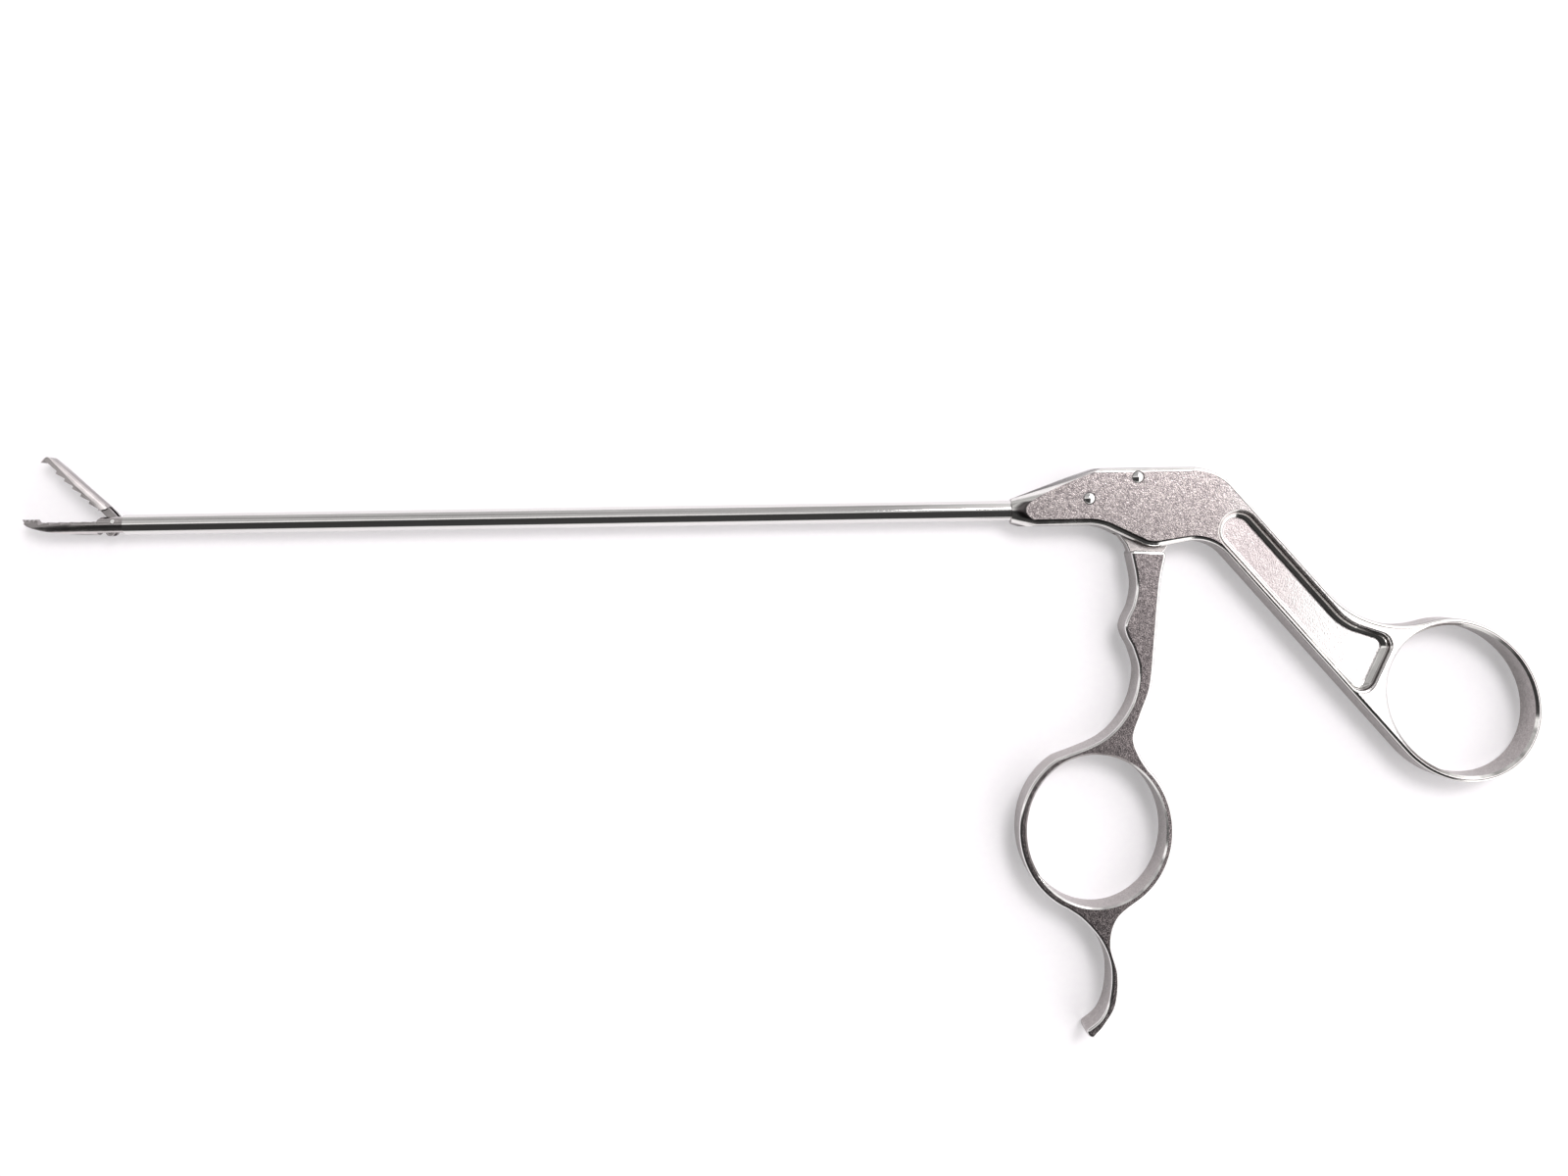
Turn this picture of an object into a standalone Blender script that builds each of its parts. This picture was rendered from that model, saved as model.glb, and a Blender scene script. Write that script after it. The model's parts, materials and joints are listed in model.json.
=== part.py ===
"""Arthroscopic grasping forceps: a ring handle, a thin shaft and one moving jaw.

The instrument lies on its side. X runs along the shaft with the jaws at -X, Z is up, and the
origin is on the handle's underside, below the shaft axis and level with the lever's pivot.
The jaws stand open, as they do at rest. Blender 4.5, metres.
"""

import math

import bmesh
import bpy
from mathutils import Matrix, Vector

MM = 0.001
ROUND_SIDES = 48
PIN_SIDES = 32
cut_past = 1.0 * MM

# Shaft
shaft_diameter = 3.4 * MM
tube_wall = 0.4 * MM
tube_length = 163.0 * MM
tube_rear = -6.3 * MM
rod_diameter = 1.6 * MM
rod_play = 0.05 * MM
seat_gap = 0.02 * MM
bushing_length = 13.5 * MM

# Handle and lever
handle_thickness = 6.0 * MM
edge_chamfer = 0.35 * MM
pivot_height = 5.17 * MM
slot_width = 2.8 * MM
slot_play = 0.1 * MM

# Handle body outline, from the shaft axis
nose_x = -20.9 * MM
nose_top = 1.9 * MM
nose_bottom = -2.7 * MM
nose_cone_front = 2.27 * MM
nose_cone_slope = 0.33
body_top = 6.75 * MM
top_front_x = -7.7 * MM
belly_front_x = -6.4 * MM
belly_x = 2.0 * MM
belly_bottom = -6.8 * MM
saddle_x = 12.2 * MM

# Rear arm and thumb ring
arm_angle = math.radians(49.0)
arm_width = 8.3 * MM
thumb_reach = 53.2 * MM
thumb_drop = 32.8 * MM
thumb_long = 13.3 * MM
thumb_short = 11.55 * MM
thumb_band = 1.1 * MM
pocket_low_rim = 0.6 * MM
pocket_high_rim = 1.0 * MM
pocket_depth = 1.9 * MM
pocket_cove = 0.9 * MM
pocket_front_x = 16.7 * MM

# Finger ring, grip and hook of the lever
finger_reach = 53.5 * MM
finger_x = -7.75 * MM
finger_long = 12.7 * MM
finger_short = 11.6 * MM
finger_band = 1.3 * MM
shoulder_y = -6.9 * MM
shoulder_left = -1.6 * MM
shoulder_right = 4.45 * MM
tang_boss = 1.45 * MM
tang_side = 0.4 * MM

# The recess beside the thumb ring, in mm from the ring's centre along and across the arm: how far
# its low corner reaches, its high corner, and where its upper edge starts to bend outwards
pocket_low_reach = -10.4 * MM
pocket_high_corner = (-15.1, -1.15)
pocket_bend_reach = -22.3 * MM

# Points in mm that the lever's edge flows through: from the shoulder's corners, from the top of
# the finger ring, and from its bottom
front_from_shoulder = [(0.3, -0.8), (1.05, -5.3), (0.4, -9.4), (-0.9, -12.6), (0.3, -16.3), (1.2, -20.6)]
front_from_ring = [(5.75, 6.3), (1.45, 1.4)]
rear_from_ring = [(7.45, -1.5), (6.6, 1.5), (7.85, 5.3)]
rear_from_shoulder = [(-2.7, -22.2), (-1.85, -14.7), (-0.9, -5.2), (0.0, -0.8)]
hook_left = [(-2.45, -0.8), (0.45, -4.3), (1.8, -8.5), (1.55, -13.7), (0.05, -16.7)]
hook_tip = [(-2.0, -19.0), (-2.15, -19.6), (-1.65, -19.9)]
hook_right = [(0.35, -18.0), (2.45, -14.5), (3.15, -9.7), (2.3, -4.9), (3.45, -0.7)]

# Lever drive: pins and the fork in the tang
lever_pin_diameter = 1.5 * MM
lock_pin_diameter = 1.2 * MM
pin_head_diameter = 1.78 * MM
pin_head_height = 0.38 * MM
pin_play = 0.05 * MM
lock_place = Vector((-8.1 * MM, 1.76 * MM))
cross_pin_diameter = 1.0 * MM
fork_blade = 1.1 * MM
blade_play = 0.07 * MM
rod_end_diameter = 2.3 * MM
rod_end_reach = 4.3 * MM
rod_end_socket = 2.1 * MM
rod_end_tip = 0.95 * MM
rod_room_rear = -1.5 * MM

# Jaws, measured from the jaw pivot
jaw_pivot_ahead = 1.7 * MM
jaw_pivot_y = 0.5 * MM
jaw_opening = math.radians(42.4)
jaw_pin_diameter = 0.8 * MM
jaw_pin_length = 3.0 * MM
drive_offset = 1.65 * MM
drive_pin_diameter = 0.6 * MM
drive_pin_length = 1.8 * MM
drive_blade = 0.8 * MM
ear_gap = 0.9 * MM
ears_width = 1.86 * MM
jaw_slot = 2.0 * MM
ear_boss = 0.95 * MM
ear_lobe = 0.73 * MM
clevis_diameter = 3.3 * MM
clevis_top = 1.5 * MM
clevis_ring = 0.2 * MM
spigot_length = 6.0 * MM
jaw_slot_front = 2.75 * MM
fixed_reach = 15.4 * MM
moving_reach = 15.9 * MM
tooth_count = 5
tooth_pitch = 1.9 * MM
tooth_flank = 0.2 * MM
tooth_start = 3.1 * MM
tooth_root = 0.15 * MM
tooth_tip = -0.28 * MM
mesh_gap = 0.1 * MM
tip_teeth = 3
tip_pitch = 0.73 * MM
tip_height = 0.58 * MM
tip_root = 0.15 * MM
tip_floor = -0.05 * MM
tip_block = 1.2 * MM
tip_slope = 0.28 * MM
jaw_back = 1.39 * MM
jaw_tip_width = 2.3 * MM
taper_start = 4.0 * MM
cavity_width = 1.6 * MM
cavity_roof = 0.75 * MM
hook_thickness = 0.45 * MM

# Points in mm from the jaw pivot: the moving jaw's heel, and the fixed jaw's edge behind and below it
jaw_heel = (-2.85, -0.08)
clevis_edge = [(-2.72, -0.3), (-2.6, 0.1), (-2.35, 0.48), (-1.85, 0.78), (-1.2, 0.92)]
jaw_belly = [(-7.2, -1.97), (-9.7, -1.76), (-11.4, -1.48), (-13.0, -1.12), (-14.3, -0.65)]

# Worked out from the sizes above
axis_z = handle_thickness / 2
tube_front = tube_rear - tube_length
jaw_pivot = Vector((tube_front - jaw_pivot_ahead, jaw_pivot_y))
thumb_centre = Vector((thumb_reach, -thumb_drop))
finger_centre = Vector((finger_x, -finger_reach))
shaft_radius = shaft_diameter / 2
bore_radius = shaft_radius - tube_wall
rod_radius = rod_diameter / 2
rod_travel = 2 * drive_offset * math.tan(jaw_opening / 2)
lever_swing = 2 * math.atan(rod_travel / 2 / pivot_height)
lever_pivot = Vector((0.0, pivot_height))
rod_line_y = jaw_pivot.y - drive_offset
drive_pin_x = jaw_pivot.x - rod_travel / 2
cross_pin_x = -rod_travel / 2

along_arm = Vector((math.cos(arm_angle), -math.sin(arm_angle)))
across_arm = Vector((math.sin(arm_angle), math.cos(arm_angle)))
thumb_outer = (thumb_long + thumb_band, thumb_short + thumb_band)
finger_outer = (finger_long + finger_band, finger_short + finger_band)
finger_top = finger_centre + Vector((0.0, finger_outer[0]))
finger_bottom = finger_centre - Vector((0.0, finger_outer[0]))
shoulder_start = Vector((shoulder_left, shoulder_y))
shoulder_end = Vector((shoulder_right, shoulder_y - 0.4 * MM))


def start_scene():
    """Empties the scene and makes one collection for the instrument and one for its cutters."""
    for old in list(bpy.data.objects):
        bpy.data.objects.remove(old, do_unlink=True)
    made = {}
    for title in ("grasping_forceps", "cutters"):
        made[title] = bpy.data.collections.new(title)
        bpy.context.scene.collection.children.link(made[title])
    return made["grasping_forceps"], made["cutters"]


def steel(title, colour, roughness):
    """A metal with the colour and the roughness of one finish."""
    made = bpy.data.materials.new(title)
    made.use_nodes = True
    shader = made.node_tree.nodes["Principled BSDF"]
    shader.inputs["Base Color"].default_value = (*colour, 1.0)
    shader.inputs["Metallic"].default_value = 1.0
    shader.inputs["Roughness"].default_value = roughness
    return made


# Outlines

def measured_from(place, pairs):
    """Points given in millimetres from a place."""
    return [place + Vector((x * MM, y * MM)) for x, y in pairs]


def conic(start, corner, end, steps=10):
    """Points of the round curve from start to end whose tangents meet at the corner."""
    first = (corner - start).normalized()
    last = (end - corner).normalized()
    weight = math.cos(first.angle(last) / 2)
    points = []
    for step in range(steps + 1):
        t = step / steps
        a, b, c = (1 - t) ** 2, 2 * t * (1 - t) * weight, t * t
        points.append((a * start + b * corner + c * end) / (a + b + c))
    return points


def rounded(before, corner, after, radius, steps=8):
    """The corner between two straight edges, rounded to the given radius."""
    back = (before - corner).normalized()
    ahead = (after - corner).normalized()
    leg = radius / math.tan(back.angle(ahead) / 2)
    return conic(corner + leg * back, corner, corner + leg * ahead, steps)


def oval_point(centre, half_long, half_short, long_axis, angle):
    side = Vector((-long_axis.y, long_axis.x))
    return centre + half_long * math.cos(angle) * long_axis + half_short * math.sin(angle) * side


def oval(centre, half_long, half_short, long_axis, start=0.0, end=2 * math.pi, steps=56):
    """Points along an oval, counter-clockwise. A whole turn leaves out its repeated last point."""
    whole = abs(end - start) > 2 * math.pi - 1e-6
    last = steps if whole else steps + 1
    return [
        oval_point(centre, half_long, half_short, long_axis, start + (end - start) * i / steps)
        for i in range(last)
    ]


def circle(centre, radius, start=0.0, end=2 * math.pi, steps=ROUND_SIDES):
    return oval(centre, radius, radius, Vector((1, 0)), start, end, steps)


def flowing(points, steps=6):
    """A smooth curve through the points, without the last one."""
    curve = []
    for i in range(len(points) - 1):
        p0 = points[max(i - 1, 0)]
        p1, p2 = points[i], points[i + 1]
        p3 = points[min(i + 2, len(points) - 1)]
        m1 = (p2 - p0) / 2
        m2 = (p3 - p1) / 2
        for step in range(steps):
            t = step / steps
            curve.append(
                (2 * t**3 - 3 * t**2 + 1) * p1
                + (t**3 - 2 * t**2 + t) * m1
                + (-2 * t**3 + 3 * t**2) * p2
                + (t**3 - t**2) * m2
            )
    return curve


def hull_of_circles(first, first_radius, second, second_radius, steps=14):
    """The outline that a belt around two circles takes, counter-clockwise."""
    run = second - first
    heading = math.atan2(run.y, run.x)
    spread = math.acos((first_radius - second_radius) / run.length)
    around_second = circle(second, second_radius, heading - spread, heading + spread, steps)
    around_first = circle(first, first_radius, heading + spread, heading + 2 * math.pi - spread, steps)
    return around_second + around_first


# Solids

def closed_mesh(curve_object):
    """The curve as a mesh object with its caps welded on, in place of the curve."""
    graph = bpy.context.evaluated_depsgraph_get()
    mesh = bpy.data.meshes.new_from_object(curve_object.evaluated_get(graph))
    work = bmesh.new()
    work.from_mesh(mesh)
    bmesh.ops.remove_doubles(work, verts=work.verts, dist=1e-7)
    bmesh.ops.recalc_face_normals(work, faces=work.faces)
    work.to_mesh(mesh)
    work.free()
    solid = bpy.data.objects.new(curve_object.name + "_solid", mesh)
    solid.matrix_world = curve_object.matrix_world
    bpy.context.scene.collection.objects.link(solid)
    bpy.data.objects.remove(curve_object, do_unlink=True)
    return solid


def slab(loops, low, high, chamfer=0.0):
    """A flat outline given thickness in Z. The first loop is the outside, the others are holes."""
    curve = bpy.data.curves.new("outline", "CURVE")
    curve.dimensions = "2D"
    curve.fill_mode = "BOTH"
    for loop in loops:
        line = curve.splines.new("POLY")
        line.points.add(len(loop) - 1)
        for point, place in zip(line.points, loop):
            point.co = (place.x, place.y, 0.0, 1.0)
        line.use_cyclic_u = True
    curve.extrude = (high - low) / 2 - chamfer
    curve.bevel_depth = chamfer
    curve.bevel_resolution = 0
    curve.offset = -chamfer
    outline = bpy.data.objects.new("outline", curve)
    outline.location.z = (low + high) / 2
    bpy.context.scene.collection.objects.link(outline)
    bpy.context.view_layer.update()
    solid = settled(closed_mesh(outline))
    if len(loops) == 1:
        join_caps(solid.data, low, high)
    return solid


def join_caps(mesh, low, high):
    """Makes each flat end of an outline without holes one face."""
    work = bmesh.new()
    work.from_mesh(mesh)
    for height in (low, high):
        cap = [f for f in work.faces if all(abs(v.co.z - height) < 1e-7 for v in f.verts)]
        bmesh.ops.dissolve_faces(work, faces=cap)
    work.to_mesh(mesh)
    work.free()


def settled(solid):
    """Moves the object's own place and turn into its mesh."""
    bpy.context.view_layer.update()
    solid.data.transform(solid.matrix_world)
    solid.matrix_world = Matrix.Identity(4)
    return solid


def round_bar(radius, start, end, sides=ROUND_SIDES):
    """A cylinder between two points."""
    run = end - start
    bpy.ops.mesh.primitive_cylinder_add(
        vertices=sides,
        radius=radius,
        depth=run.length,
        location=(start + end) / 2,
        rotation=run.to_track_quat("Z", "Y").to_euler(),
    )
    return settled(bpy.context.object)


def bar_x(radius, x_start, x_end, y=0.0, sides=ROUND_SIDES):
    """A cylinder along the shaft's direction, at the shaft's height."""
    return round_bar(radius, Vector((x_start, y, axis_z)), Vector((x_end, y, axis_z)), sides)


def bar_z(radius, centre, low, high, sides=PIN_SIDES):
    return round_bar(radius, Vector((*centre, low)), Vector((*centre, high)), sides)


def pin_hole(centre, radius, sides=PIN_SIDES):
    """A cutter for a pin's hole through the whole thickness."""
    return bar_z(radius, centre, -cut_past, handle_thickness + cut_past, sides)


def block(x_range, y_range, z_range):
    low = Vector((x_range[0], y_range[0], z_range[0]))
    high = Vector((x_range[1], y_range[1], z_range[1]))
    bpy.ops.mesh.primitive_cube_add(size=1.0, location=(low + high) / 2)
    cube = bpy.context.object
    cube.scale = high - low
    return settled(cube)


def plan_slab(loop, low, high):
    """An outline drawn in X and Z, given its thickness in Y."""
    flat = slab([loop], -high, -low)
    flat.matrix_world = Matrix.Rotation(math.pi / 2, 4, "X")
    return settled(flat)


def turned(profile, steps=PIN_SIDES):
    """A turned piece about Z: the profile's points are (radius, height), top to bottom."""
    mesh = bpy.data.meshes.new("profile")
    edges = [(i, i + 1) for i in range(len(profile) - 1)]
    mesh.from_pydata([(radius, 0.0, height) for radius, height in profile], edges, [])
    piece = bpy.data.objects.new("turned", mesh)
    bpy.context.scene.collection.objects.link(piece)
    screw = piece.modifiers.new("turn", "SCREW")
    screw.steps = steps
    screw.render_steps = steps
    screw.use_merge_vertices = True
    screw.merge_threshold = 1e-6
    return piece


def combine(solid, other, operation, cutters):
    """Adds a Boolean to the solid. The other shape stays as a hidden helper."""
    modifier = solid.modifiers.new(operation.lower(), "BOOLEAN")
    modifier.operation = operation
    modifier.solver = "EXACT"
    modifier.object = other
    for owner in list(other.users_collection):
        owner.objects.unlink(other)
    cutters.objects.link(other)
    other.name = "helper"
    other.hide_render = True
    other.display_type = "WIRE"
    return other


def finish(solid, title, material, parts):
    """Names a finished piece, gives it its material and smooth shading, and files it."""
    solid.name = title
    solid.data.name = title
    solid.data.materials.clear()
    solid.data.materials.append(material)
    solid.data.shade_smooth()
    solid.data.set_sharp_from_angle(angle=math.radians(30))
    for owner in list(solid.users_collection):
        owner.objects.unlink(solid)
    parts.objects.link(solid)
    return solid


def axis_at(title, place, members):
    """An empty on a joint's axis that carries the pieces of one moving body."""
    axis = bpy.data.objects.new(title, None)
    axis.location = (place.x, place.y, axis_z)
    axis.empty_display_size = 2 * MM
    bpy.context.scene.collection.objects.link(axis)
    bpy.context.view_layer.update()
    for member in members:
        member.parent = axis
        member.matrix_parent_inverse = axis.matrix_world.inverted()
    return axis


# Handle

def handle_outline():
    """The outer edge of the fixed handle: nose, back, arm, thumb ring, arm again and belly."""
    nose_low = Vector((nose_x, nose_bottom))
    nose_high = Vector((nose_x, nose_top))
    top_front = Vector((top_front_x, body_top))
    belly_front = Vector((belly_front_x, nose_bottom))
    belly = Vector((belly_x, belly_bottom))
    arm_low = thumb_centre - thumb_outer[1] * across_arm
    arm_high = arm_low + arm_width * across_arm
    slope = along_arm.y / along_arm.x
    saddle = Vector((saddle_x, arm_low.y + slope * (saddle_x - arm_low.x)))
    top_rear = Vector((arm_high.x + (body_top - arm_high.y) / slope, body_top))

    ring_start = math.radians(-90)
    ring_end = math.radians(158)
    ring = oval(thumb_centre, *thumb_outer, along_arm, ring_start, ring_end, 44)
    ring_heading = ring[-2] - ring[-1]
    reach = (arm_high - ring[-1]).cross(along_arm) / ring_heading.cross(along_arm)
    neck_corner = ring[-1] + reach * ring_heading
    neck_leg = (neck_corner - ring[-1]).length

    outline = rounded(nose_high, nose_low, belly_front, 0.9 * MM, 4)
    outline += rounded(nose_low, belly_front, belly, 8 * MM)
    outline += rounded(belly_front, belly, saddle, 5 * MM)
    outline += rounded(belly, saddle, arm_low, 7 * MM)
    outline += ring
    outline += conic(ring[-1], neck_corner, neck_corner - neck_leg * along_arm, 14)[1:]
    outline += rounded(arm_high, top_rear, top_front, 9.5 * MM, 12)
    outline += rounded(top_rear, top_front, nose_high, 6 * MM)
    outline += rounded(top_front, nose_high, nose_low, 0.5 * MM, 3)
    return outline


def beside_ring(along, across):
    """A place given from the thumb ring's centre, along and across the arm."""
    return thumb_centre + along * along_arm + across * across_arm


def pocket_outline():
    """The long recess in the arm: round at the body, spread to both sides before the ring."""
    low_line = pocket_low_rim - thumb_outer[1]
    high_line = arm_width - pocket_high_rim - thumb_outer[1]
    half = (high_line - low_line) / 2
    middle = beside_ring(0, low_line + half)
    front = middle + (pocket_front_x - middle.x) / along_arm.x * along_arm
    low = front - half * across_arm
    high = front + half * across_arm
    low_corner = beside_ring(pocket_low_reach, low_line)
    high_corner = beside_ring(*(part * MM for part in pocket_high_corner))
    bend = beside_ring(pocket_bend_reach, high_line)

    outline = circle(front, half, math.pi / 2 - arm_angle, 3 * math.pi / 2 - arm_angle, 20)
    outline += rounded(low, low_corner, high_corner, 2.4 * MM)
    outline += rounded(low_corner, high_corner, bend, 1.9 * MM)
    outline += rounded(high_corner, bend, high, 9 * MM)
    return outline


def nose_turning(cutters):
    """What the lathe takes off the nose: a block with a cone about the shaft left out of it."""
    front = nose_x - cut_past
    rear = nose_x + (math.hypot(body_top, axis_z) + cut_past - nose_cone_front) / nose_cone_slope
    tool = block(
        (front, rear),
        (nose_bottom - cut_past, body_top + cut_past),
        (-cut_past, handle_thickness + cut_past),
    )
    bpy.ops.mesh.primitive_cone_add(
        vertices=ROUND_SIDES,
        radius1=nose_cone_front - 2 * cut_past * nose_cone_slope,
        radius2=nose_cone_front + (rear + cut_past - nose_x) * nose_cone_slope,
        depth=rear - front + 2 * cut_past,
        location=((front + rear) / 2, 0.0, axis_z),
        rotation=(0.0, math.pi / 2, 0.0),
    )
    combine(tool, settled(bpy.context.object), "DIFFERENCE", cutters)
    return tool


def handle_body(cutters):
    thumb_hole = oval(thumb_centre, thumb_long, thumb_short, along_arm)
    body = slab([handle_outline(), thumb_hole[::-1]], 0.0, handle_thickness, edge_chamfer)
    cuts = []

    cuts.append(nose_turning(cutters))
    cuts.append(bar_x(shaft_radius + seat_gap, nose_x - cut_past, rod_room_rear))
    cuts.append(slab([lever_slot()], axis_z - slot_width / 2, axis_z + slot_width / 2))
    cuts.append(pin_hole(lever_pivot, lever_pin_diameter / 2 + seat_gap))
    cuts.append(pin_hole(lock_place, lock_pin_diameter / 2 + seat_gap))
    for low, high in (
        (handle_thickness - pocket_depth, handle_thickness + pocket_depth),
        (-pocket_depth, pocket_depth),
    ):
        cuts.append(slab([pocket_outline()], low, high, pocket_cove))
    for cut in cuts:
        combine(body, cut, "DIFFERENCE", cutters)
    return body


def tang_sides():
    """The tang's front and rear edges, each from below the pivot to the wide part at the belly."""
    front = measured_from(lever_pivot, [(-1.75, -4.67)]) + measured_from(shoulder_start, [(-1.5, 2.7)])
    rear = measured_from(lever_pivot, [(2.7, -5.17)]) + measured_from(shoulder_end, [(1.3, 2.0)])
    return front, rear


def lever_slot():
    """The slot that the lever's tang swings in, open at the top and at the belly."""
    boss = tang_boss + slot_play
    front, rear = tang_sides()
    swing = Matrix.Rotation(lever_swing, 2)
    closed = [lever_pivot + swing @ (point - lever_pivot) for point in rear]
    aside = Vector((tang_side, 0.0))
    below = belly_bottom - cut_past
    return [
        Vector((-boss, body_top + cut_past)),
        Vector((-boss, pivot_height)),
        front[0] - aside,
        front[1] - aside,
        Vector((front[1].x - aside.x, below)),
        Vector((closed[1].x + aside.x, below)),
        closed[1] + aside,
        closed[0] + aside,
        lever_pivot + swing @ Vector((boss, 0.0)),
        Vector((boss, body_top + cut_past)),
    ]


def lever(cutters):
    """Grip, finger ring and hook at full thickness, with the thin tang joined to them."""
    upright = Vector((0, 1))
    ring_left = oval(finger_centre, *finger_outer, upright, math.radians(30), math.radians(157), 24)
    ring_right = oval(finger_centre, *finger_outer, upright, math.radians(214), math.radians(316), 20)
    front = measured_from(shoulder_start, front_from_shoulder) + measured_from(finger_top, front_from_ring)
    front = flowing(front + ring_left[:1])
    hook = measured_from(finger_bottom, hook_left + hook_tip + hook_right)
    hook = flowing(ring_left[-1:] + hook + ring_right[:1])
    rear = measured_from(finger_top, rear_from_ring) + measured_from(shoulder_end, rear_from_shoulder)
    rear = flowing(ring_right[-1:] + rear)
    top = rounded(rear[-1], shoulder_end, shoulder_start, 0.7 * MM, 4)
    top += rounded(shoulder_end, shoulder_start, front[0], 0.6 * MM, 4)
    outline = front + ring_left[:-1] + hook + ring_right[:-1] + rear + top
    finger_hole = oval(finger_centre, finger_long, finger_short, upright)
    grip = slab([outline, finger_hole[::-1]], 0.0, handle_thickness, edge_chamfer)

    tang_half = slot_width / 2 - slot_play
    tang_outline = circle(lever_pivot, tang_boss, 0.0, math.pi, 16)
    tang_front, tang_rear = tang_sides()
    tang_outline += tang_front + measured_from(shoulder_start, [(-0.15, 0.9), (0.8, -1.7)])
    tang_outline += measured_from(shoulder_end, [(-1.25, -1.3), (0.3, 0.3)]) + tang_rear[::-1]
    tang = slab([tang_outline], axis_z - tang_half, axis_z + tang_half)
    combine(grip, tang, "UNION", cutters)

    fork = block(
        (-5 * MM, cross_pin_x + rod_end_tip + 0.3 * MM),
        (-rod_end_diameter / 2, rod_end_diameter / 2 + 0.6 * MM),
        (axis_z - fork_blade / 2 - blade_play, axis_z + fork_blade / 2 + blade_play),
    )
    combine(grip, fork, "DIFFERENCE", cutters)
    combine(grip, pin_hole(lever_pivot, lever_pin_diameter / 2 + pin_play), "DIFFERENCE", cutters)
    down = Vector((math.sin(-lever_swing / 2), -math.cos(lever_swing / 2)))
    slot_radius = cross_pin_diameter / 2 + pin_play
    near = lever_pivot + pivot_height * down
    far = lever_pivot + pivot_height / math.cos(lever_swing / 2) * down
    pin_slot = slab([hull_of_circles(near, slot_radius, far, slot_radius)], 0.0, handle_thickness)
    combine(grip, pin_slot, "DIFFERENCE", cutters)
    return grip


def domed_pin(centre, diameter):
    """A pin through the handle with a polished dome on the upper side, flush below."""
    head = pin_head_diameter / 2
    base = handle_thickness + seat_gap
    dome_radius = (head**2 + pin_head_height**2) / (2 * pin_head_height)
    half_angle = math.asin(head / dome_radius)
    profile = []
    for step in range(7):
        angle = half_angle * step / 6
        height = base + pin_head_height - dome_radius * (1 - math.cos(angle))
        profile.append((dome_radius * math.sin(angle), height))
    profile += [(diameter / 2, base), (diameter / 2, 2 * seat_gap), (0.0, 2 * seat_gap)]
    pin = turned(profile)
    pin.location = (centre.x, centre.y, 0.0)
    return pin


def plain_pin(centre, diameter, length):
    """A straight pin across the shaft's height, with a small chamfer at each end."""
    radius = diameter / 2
    chamfer = 0.08 * MM
    half = length / 2
    profile = [
        (0.0, half),
        (radius - chamfer, half),
        (radius, half - chamfer),
        (radius, chamfer - half),
        (radius - chamfer, -half),
        (0.0, -half),
    ]
    pin = turned(profile, 24)
    pin.location = (centre.x, centre.y, axis_z)
    return pin


# Shaft and rod

def lock_notch():
    """The notch that the lock pin leaves in the side of what lies in the nose."""
    return pin_hole(lock_place, lock_pin_diameter / 2 + seat_gap)


def shaft_tube(cutters):
    tube = bar_x(shaft_radius, tube_front, tube_rear)
    combine(tube, bar_x(bore_radius, tube_front - cut_past, tube_rear + cut_past), "DIFFERENCE", cutters)
    combine(tube, lock_notch(), "DIFFERENCE", cutters)
    return tube


def rod_bushing(cutters):
    rear = tube_rear - 0.2 * MM
    front = rear - bushing_length
    bushing = bar_x(bore_radius - seat_gap, front, rear)
    hole = bar_x(rod_radius + rod_play, front - cut_past, rear + cut_past)
    combine(bushing, hole, "DIFFERENCE", cutters)
    combine(bushing, lock_notch(), "DIFFERENCE", cutters)
    return bushing


def pull_rod(cutters):
    """The round rod with the flat blade on its front end that carries the drive pin."""
    ears_rear = jaw_pivot.x + ear_boss + 0.1 * MM
    rod_rear = cross_pin_x - rod_end_reach + rod_end_socket
    rod = bar_x(rod_radius, ears_rear, rod_rear)
    boss = 0.5 * MM
    chord = math.sqrt(rod_radius**2 - (drive_blade / 2) ** 2) - seat_gap
    pin = Vector((drive_pin_x, rod_line_y))
    blade_top = jaw_pivot.y - jaw_pin_diameter / 2 - 0.1 * MM
    ring_front = tube_front - clevis_ring - rod_travel
    blade = circle(pin, boss, math.radians(100), math.radians(305), 12)
    blade += [
        Vector((ring_front - 0.05 * MM, -chord)),
        Vector((ears_rear + 0.6 * MM, -chord)),
        Vector((ears_rear + 0.6 * MM, blade_top)),
        Vector((drive_pin_x + 0.3 * MM, blade_top)),
    ]
    flat = slab([blade], axis_z - drive_blade / 2, axis_z + drive_blade / 2)
    combine(rod, flat, "UNION", cutters)
    hole = pin_hole(pin, drive_pin_diameter / 2 + seat_gap, 24)
    combine(rod, hole, "DIFFERENCE", cutters)
    return rod


def rod_end(cutters):
    """The rod's rear end: a socket on the rod and a flat blade that enters the lever's fork."""
    socket_rear = cross_pin_x - 1.9 * MM
    socket = bar_x(rod_end_diameter / 2, cross_pin_x - rod_end_reach, socket_rear)
    half_height = rod_end_diameter / 2 - 0.2 * MM
    blade = [Vector((socket_rear - 0.4 * MM, half_height)), Vector((socket_rear - 0.4 * MM, -half_height))]
    blade += circle(Vector((cross_pin_x, 0.0)), rod_end_tip, -math.pi / 2, math.pi / 2, 12)
    flat = slab([blade], axis_z - fork_blade / 2, axis_z + fork_blade / 2)
    combine(socket, flat, "UNION", cutters)
    front = cross_pin_x - rod_end_reach
    bore = bar_x(rod_radius + seat_gap, front - cut_past, front + rod_end_socket + 0.1 * MM)
    combine(socket, bore, "DIFFERENCE", cutters)
    hole = pin_hole(Vector((cross_pin_x, 0.0)), cross_pin_diameter / 2 + seat_gap)
    combine(socket, hole, "DIFFERENCE", cutters)
    return socket


# Jaws

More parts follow.
